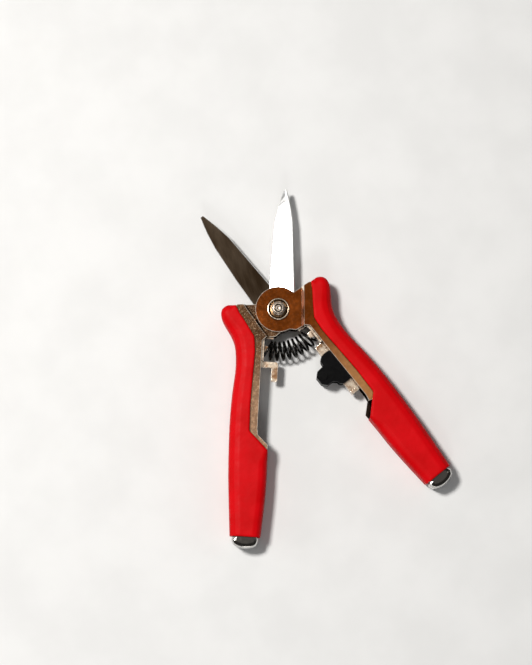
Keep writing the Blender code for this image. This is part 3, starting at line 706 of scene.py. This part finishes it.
def spring_line():
    """The wire's centreline: a helix whose axis is an arc about the pivot. The end turns lean
    until they lie flat on their seats."""
    line = []
    steps = SPRING_TURNS * SPRING_POINTS_PER_TURN
    for i in range(steps + 1):
        along = 2 * i / steps - 1
        angle = along * SPRING_HALF_ANGLE
        lean = max(0.0, abs(along) - SPRING_LEAN_START) / (1 - SPRING_LEAN_START)
        gap = math.copysign(HALF_OPENING - SPRING_HALF_ANGLE, along)
        plane = angle + gap * lean**2
        turn = 2 * math.pi * i / SPRING_POINTS_PER_TURN
        centre = Vector((math.sin(angle), -math.cos(angle), 0)) * SPRING_ARC_RADIUS
        centre.z = MIDDLE_HEIGHT
        outward = Vector((math.sin(plane), -math.cos(plane), 0))
        line.append(centre + SPRING_COIL_RADIUS * (outward * math.cos(turn)
                                                   + Vector((0, 0, 1)) * math.sin(turn)))
    return line


def sweep(name, line, radius, sides):
    """A round wire along a line."""
    bm = bmesh.new()
    rings = []
    side = Vector((0, 0, 1))
    for i, point in enumerate(line):
        along = (line[min(i + 1, len(line) - 1)] - line[max(i - 1, 0)]).normalized()
        side = (side - along * side.dot(along)).normalized()
        other = along.cross(side)
        angles = [2 * math.pi * k / sides for k in range(sides)]
        rings.append([bm.verts.new(point + radius * (side * math.cos(a) + other * math.sin(a)))
                      for a in angles])
    for first, second in zip(rings, rings[1:]):
        join_rings(bm, first, second)
    bm.faces.new(rings[0])
    bm.faces.new(rings[-1])
    wire = from_bmesh(name, bm)
    wire.data.shade_smooth()
    return wire


# Pieces

for node, item in frame["nodes"].items():
    dress(item, node)

for node in ("left_channel", "right_channel"):
    put_in_place(refined(node, f"{node}_finished", CHANNEL_ROUNDING, fold=CHANNEL_FOLD_ROUNDING), node)
for node, width in ROUNDINGS.items():
    put_in_place(refined(node, f"{node}_finished", width), node)
for node in ("front_blade", "rear_blade"):
    put_in_place(refined(node, f"{node}_finished", BLADE_ROUNDING, sharp=20.0, crease=6.0), node)
for node in ("left_grip", "right_grip"):
    put_in_place(moulded(node, f"{node}_vinyl", VINYL_GRID, VINYL_ROUNDS), node)
put_in_place(build_washer(), "pivot_front_washer")
put_in_place(build_nut(), "pivot_nut")
put_in_place(build_bolt(), "pivot_bolt")

spring = sweep("arch_spring_wire", spring_line(), SPRING_WIRE_RADIUS, SPRING_SIDES)
dress(spring, "arch_spring")
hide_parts("arch_spring")
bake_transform(spring)


# Floor, light and camera

def build_floor():
    """A large sheet of paper with faint clouds in its grey."""
    darker = (0.64, 0.64, 0.635)
    lighter = (0.68, 0.68, 0.675)
    bm = bmesh.new()
    bmesh.ops.create_grid(bm, x_segments=1, y_segments=1, size=3.0)
    mesh = bpy.data.meshes.new("floor")
    bm.to_mesh(mesh)
    bm.free()
    floor = link_mesh("floor", mesh)
    look = Surface("floor_paper", 0.0, 0.7)
    look.colour(look.mix(look.ramp(look.noise(30 * MM, 3.0), 0.3, 0.7), darker, lighter))
    look.bump((look.noise(0.8 * MM, 3.0), 0.02 * MM))
    floor.data.materials.append(look.material)


def in_view(right, up, height):
    """A point given by the photographer's right and up on the floor, and its height."""
    across = Vector((math.cos(VIEW_TURN), -math.sin(VIEW_TURN), 0))
    ahead = Vector((math.sin(VIEW_TURN), math.cos(VIEW_TURN), 0))
    return across * right + ahead * up + Vector((0, 0, height))


def aim(item, target):
    """Point an object's -Z axis at the target, with its top towards the photographer's up."""
    back = (item.location - target).normalized()
    right = in_view(0, 1, 0).cross(back).normalized()
    up = back.cross(right)
    item.rotation_euler = Matrix((right, up, back)).transposed().to_euler()


def area_light(name, place, size, power, colour=(1, 1, 1)):
    """A square lamp that shines on the middle of the snips."""
    lamp = bpy.data.lights.new(name, "AREA")
    lamp.shape = "SQUARE"
    lamp.size = size
    lamp.energy = power
    lamp.color = colour
    item = bpy.data.objects.new(name, lamp)
    bpy.context.scene.collection.objects.link(item)
    item.location = place
    aim(item, SNIPS_MIDDLE)


def build_lights():
    """A small warm key light, soft panels that the shiny faces reflect, and a dim white room."""
    warm_white = (1.0, 0.98, 0.95)
    area_light("key_light", in_view(-0.38, 0.16, 1.0), size=0.16, power=13.0, colour=warm_white)
    area_light("overhead_panel", in_view(0, 0.2, 1.6), size=0.9, power=1.0)
    area_light("left_softbox", in_view(-0.9, 0, 0.3), size=0.5, power=1.3)
    area_light("front_softbox", in_view(0, -0.7, 0.6), size=0.2, power=1.0)
    world = bpy.data.worlds.new("studio")
    world.use_nodes = True
    background = world.node_tree.nodes["Background"]
    background.inputs["Color"].default_value = (1, 1, 1, 1)
    background.inputs["Strength"].default_value = 0.14
    bpy.context.scene.world = world


def build_camera():
    """The photographer's camera, over the snips and a little towards the handles."""
    lens = bpy.data.cameras.new("photographer")
    lens.sensor_fit = "VERTICAL"
    lens.sensor_height = 24.0
    lens.lens = lens.sensor_height * VIEW_DISTANCE / VIEW_HEIGHT
    lens.clip_end = 10.0
    camera = bpy.data.objects.new("photographer", lens)
    bpy.context.scene.collection.objects.link(camera)
    towards_camera = in_view(0, -math.sin(VIEW_TILT), math.cos(VIEW_TILT))
    camera.location = VIEW_AIM + towards_camera * VIEW_DISTANCE
    aim(camera, VIEW_AIM)
    bpy.context.scene.camera = camera


build_floor()
build_lights()
build_camera()
bpy.context.scene.view_settings.view_transform = "Standard"  # plain photographic contrast
